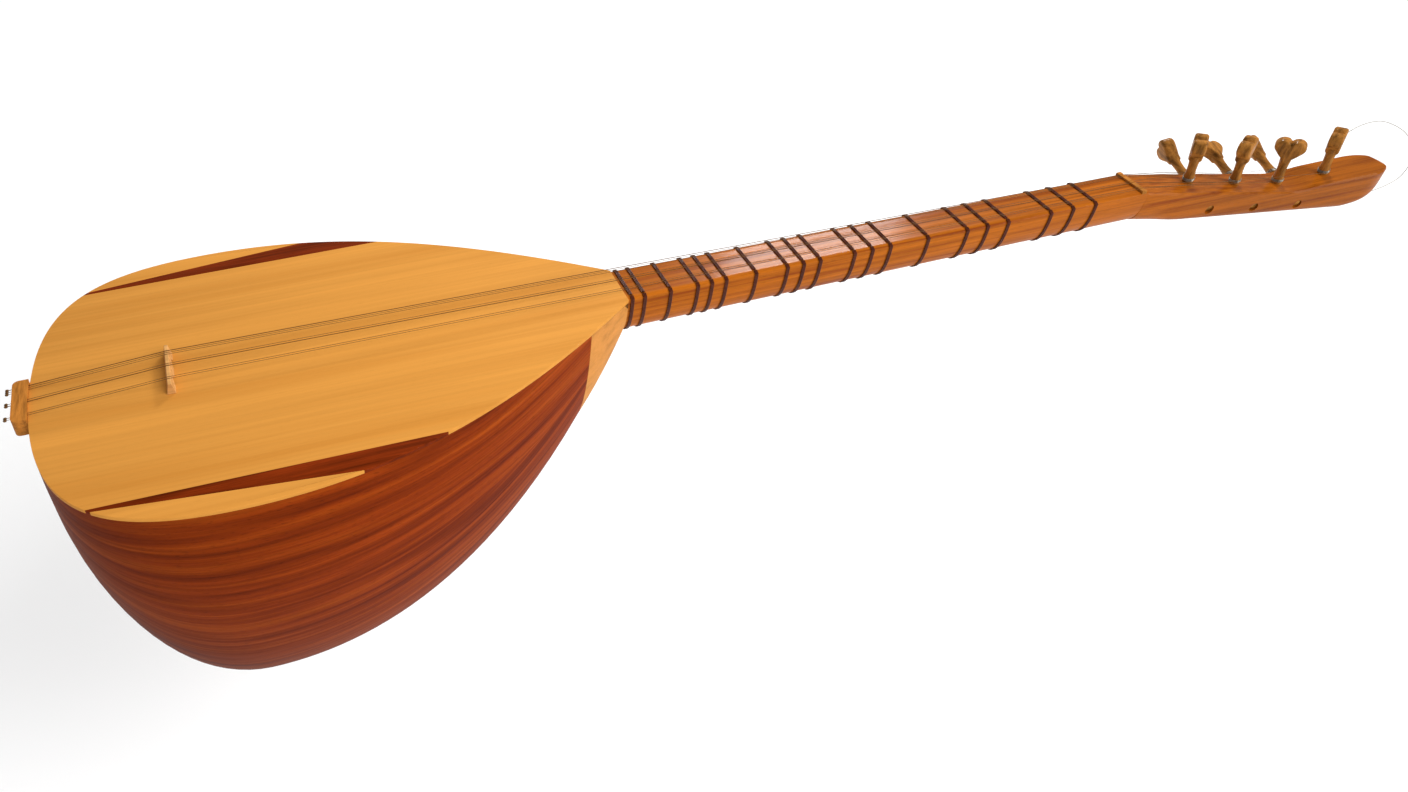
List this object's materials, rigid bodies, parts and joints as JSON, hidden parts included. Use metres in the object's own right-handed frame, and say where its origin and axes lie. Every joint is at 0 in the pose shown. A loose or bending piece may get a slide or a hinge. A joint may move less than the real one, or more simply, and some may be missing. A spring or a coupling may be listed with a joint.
{
  "type": "baglama",
  "caption": "Short-necked long lute with a deep stave-built bowl, flat soundboard, tied frets that slide, a loose bridge and turning friction pegs.",
  "frame": {"origin": "seat of a hanger's cradle, under the neck at the nut's front edge", "axes": "+X along the strings towards the head, +Y across to the side of the side pegs, +Z out of the soundboard"},
  "size_m": [1.1441, 0.254, 0.3199],
  "materials": {
    "bowl_wood": "red-brown mahogany staves under thin satin varnish",
    "dark_wood": "dark stained hardwood, varnished",
    "pale_wood": "pale limewood, varnished",
    "bridge_wood": "light boxwood, rubbed smooth",
    "tail_wood": "honey-brown beech under thin varnish",
    "spruce": "golden spruce under thin varnish",
    "neck_wood": "orange-brown hornbeam, glossy varnish",
    "peg_wood": "olive-brown boxwood, oiled",
    "fret_nylon": "dark brown tied nylon",
    "string_steel": "plain drawn steel wire",
    "wound_string": "bronze-wound steel"
  },
  "bodies": {
    "body": {"bowl_stave_1": "bowl_wood", "bowl_stave_2": "bowl_wood", "bowl_stave_3": "bowl_wood", "bowl_stave_4": "bowl_wood", "bowl_stave_5": "bowl_wood", "bowl_stave_6": "bowl_wood", "bowl_stave_7": "bowl_wood", "bowl_stave_8": "bowl_wood", "bowl_stave_9": "bowl_wood", "tail_cap": "dark_wood", "tail_block": "pale_wood", "neck_block": "pale_wood", "soundboard_plate": "spruce", "soundboard_wedge_near": "dark_wood", "soundboard_wedge_far": "dark_wood", "soundboard_sliver_near": "spruce", "soundboard_sliver_far": "spruce", "soundboard_brace": "spruce", "neck": "neck_wood", "peghead": "neck_wood", "nut": "bridge_wood", "tailpiece": "tail_wood", "string_1": "string_steel", "string_2": "string_steel", "string_3": "wound_string", "string_4": "string_steel", "string_5": "string_steel", "string_6": "string_steel", "string_7": "wound_string", "loose_string_end": "string_steel"},
    "bridge": {"bridge": "bridge_wood"},
    "fret_01": {"fret_01": "fret_nylon"},
    "fret_02": {"fret_02": "fret_nylon"},
    "fret_03": {"fret_03": "fret_nylon"},
    "fret_04": {"fret_04": "fret_nylon"},
    "fret_05": {"fret_05": "fret_nylon"},
    "fret_06": {"fret_06": "fret_nylon"},
    "fret_07": {"fret_07": "fret_nylon"},
    "fret_08": {"fret_08": "fret_nylon"},
    "fret_09": {"fret_09": "fret_nylon"},
    "fret_10": {"fret_10": "fret_nylon"},
    "fret_11": {"fret_11": "fret_nylon"},
    "fret_12": {"fret_12": "fret_nylon"},
    "fret_13": {"fret_13": "fret_nylon"},
    "fret_14": {"fret_14": "fret_nylon"},
    "fret_15": {"fret_15": "fret_nylon"},
    "fret_16": {"fret_16": "fret_nylon"},
    "fret_17": {"fret_17": "fret_nylon"},
    "fret_18": {"fret_18": "fret_nylon"},
    "fret_19": {"fret_19": "fret_nylon"},
    "fret_20": {"fret_20": "fret_nylon"},
    "front_peg_1": {"front_peg_1": "peg_wood"},
    "front_peg_2": {"front_peg_2": "peg_wood"},
    "front_peg_3": {"front_peg_3": "peg_wood"},
    "front_peg_4": {"front_peg_4": "peg_wood"},
    "side_peg_1": {"side_peg_1": "peg_wood"},
    "side_peg_2": {"side_peg_2": "peg_wood"},
    "side_peg_3": {"side_peg_3": "peg_wood"}
  },
  "joints": [
    {"name": "bridge_shift", "type": "slide", "parent": "body", "child": "bridge", "axis": [1, 0, 0], "range_m": [-0.002, 0.002]},
    {"name": "fret_01_slide", "type": "slide", "parent": "body", "child": "fret_01", "axis": [1, 0, 0], "range_m": [-0.004, 0.004]},
    {"name": "fret_02_slide", "type": "slide", "parent": "body", "child": "fret_02", "axis": [1, 0, 0], "range_m": [-0.004, 0.004]},
    {"name": "fret_03_slide", "type": "slide", "parent": "body", "child": "fret_03", "axis": [1, 0, 0], "range_m": [-0.004, 0.004]},
    {"name": "fret_04_slide", "type": "slide", "parent": "body", "child": "fret_04", "axis": [1, 0, 0], "range_m": [-0.004, 0.004]},
    {"name": "fret_05_slide", "type": "slide", "parent": "body", "child": "fret_05", "axis": [1, 0, 0], "range_m": [-0.004, 0.004]},
    {"name": "fret_06_slide", "type": "slide", "parent": "body", "child": "fret_06", "axis": [1, 0, 0], "range_m": [-0.004, 0.004]},
    {"name": "fret_07_slide", "type": "slide", "parent": "body", "child": "fret_07", "axis": [1, 0, 0], "range_m": [-0.004, 0.004]},
    {"name": "fret_08_slide", "type": "slide", "parent": "body", "child": "fret_08", "axis": [1, 0, 0], "range_m": [-0.004, 0.004]},
    {"name": "fret_09_slide", "type": "slide", "parent": "body", "child": "fret_09", "axis": [1, 0, 0], "range_m": [-0.004, 0.004]},
    {"name": "fret_10_slide", "type": "slide", "parent": "body", "child": "fret_10", "axis": [1, 0, 0], "range_m": [-0.004, 0.004]},
    {"name": "fret_11_slide", "type": "slide", "parent": "body", "child": "fret_11", "axis": [1, 0, 0], "range_m": [-0.004, 0.004]},
    {"name": "fret_12_slide", "type": "slide", "parent": "body", "child": "fret_12", "axis": [1, 0, 0], "range_m": [-0.002, 0.002]},
    {"name": "fret_13_slide", "type": "slide", "parent": "body", "child": "fret_13", "axis": [1, 0, 0], "range_m": [-0.002, 0.002]},
    {"name": "fret_14_slide", "type": "slide", "parent": "body", "child": "fret_14", "axis": [1, 0, 0], "range_m": [-0.004, 0.004]},
    {"name": "fret_15_slide", "type": "slide", "parent": "body", "child": "fret_15", "axis": [1, 0, 0], "range_m": [-0.002, 0.002]},
    {"name": "fret_16_slide", "type": "slide", "parent": "body", "child": "fret_16", "axis": [1, 0, 0], "range_m": [-0.002, 0.002]},
    {"name": "fret_17_slide", "type": "slide", "parent": "body", "child": "fret_17", "axis": [1, 0, 0], "range_m": [-0.002, 0.002]},
    {"name": "fret_18_slide", "type": "slide", "parent": "body", "child": "fret_18", "axis": [1, 0, 0], "range_m": [-0.004, 0.004]},
    {"name": "fret_19_slide", "type": "slide", "parent": "body", "child": "fret_19", "axis": [1, 0, 0], "range_m": [-0.002, 0.002]},
    {"name": "fret_20_slide", "type": "slide", "parent": "body", "child": "fret_20", "axis": [1, 0, 0], "range_m": [-0.0015, 0.002]},
    {"name": "front_peg_1_turn", "type": "hinge", "parent": "body", "child": "front_peg_1", "pos_m": [0.0615, 0.0025, 0.01911], "axis": [-0.1392, 0, 0.9903], "continuous": true},
    {"name": "front_peg_2_turn", "type": "hinge", "parent": "body", "child": "front_peg_2", "pos_m": [0.1075, 0, 0.01025], "axis": [-0.1392, 0, 0.9903], "continuous": true},
    {"name": "front_peg_3_turn", "type": "hinge", "parent": "body", "child": "front_peg_3", "pos_m": [0.1535, 0, 0.0014], "axis": [-0.1392, 0, 0.9903], "continuous": true},
    {"name": "front_peg_4_turn", "type": "hinge", "parent": "body", "child": "front_peg_4", "pos_m": [0.1995, 0, 0.00087], "axis": [-0.1392, 0, 0.9903], "continuous": true},
    {"name": "side_peg_1_turn", "type": "hinge", "parent": "body", "child": "side_peg_1", "pos_m": [0.07941, 0.0155, 0.00881], "axis": [0.1518, 0.9583, 0.2419], "continuous": true},
    {"name": "side_peg_2_turn", "type": "hinge", "parent": "body", "child": "side_peg_2", "pos_m": [0.12541, 0.0155, 0.00131], "axis": [0.1518, 0.9583, 0.2419], "continuous": true},
    {"name": "side_peg_3_turn", "type": "hinge", "parent": "body", "child": "side_peg_3", "pos_m": [0.17141, 0.0155, -0.0052], "axis": [0.1518, 0.9583, 0.2419], "continuous": true}
  ]
}
